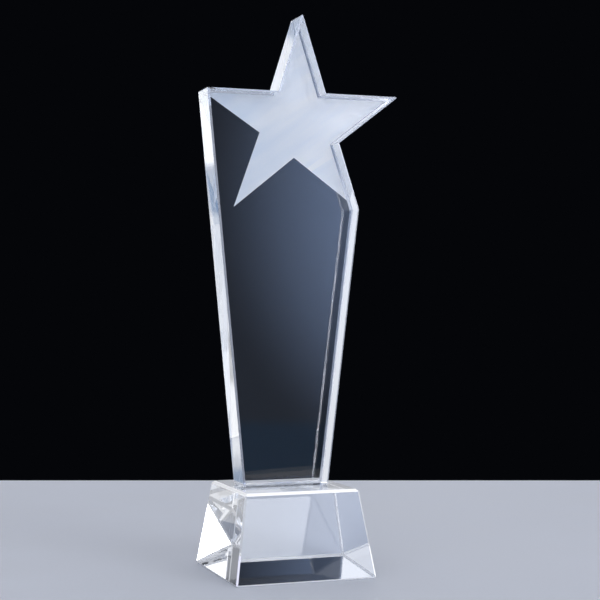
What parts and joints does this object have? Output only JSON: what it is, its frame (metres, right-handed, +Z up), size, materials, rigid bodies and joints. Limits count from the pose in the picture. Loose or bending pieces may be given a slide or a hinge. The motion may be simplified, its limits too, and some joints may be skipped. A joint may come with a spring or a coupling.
{
  "type": "star trophy",
  "caption": "Clear crystal award slab with a star-shaped head and a frosted star in its back face, glued upright on a square tapered crystal block.",
  "frame": {"origin": "centre of the base block's underside, on the surface that the trophy stands on", "axes": "+Z up, the trophy's height; +Y through the slab's thickness, towards the back face with the sunk star; +X across the slab, towards the star's free right arm"},
  "size_m": [0.1122, 0.0798, 0.311],
  "materials": {
    "crystal": "clear optical crystal, sawn, bevelled and polished; a star sandblasted into the slab's back face",
    "adhesive": "clear UV-cured acrylic adhesive, a film that shows only as a fine grey line"
  },
  "bodies": {
    "root": {"base_block": "crystal", "glue_film": "adhesive", "star_slab": "crystal"}
  },
  "joints": []
}
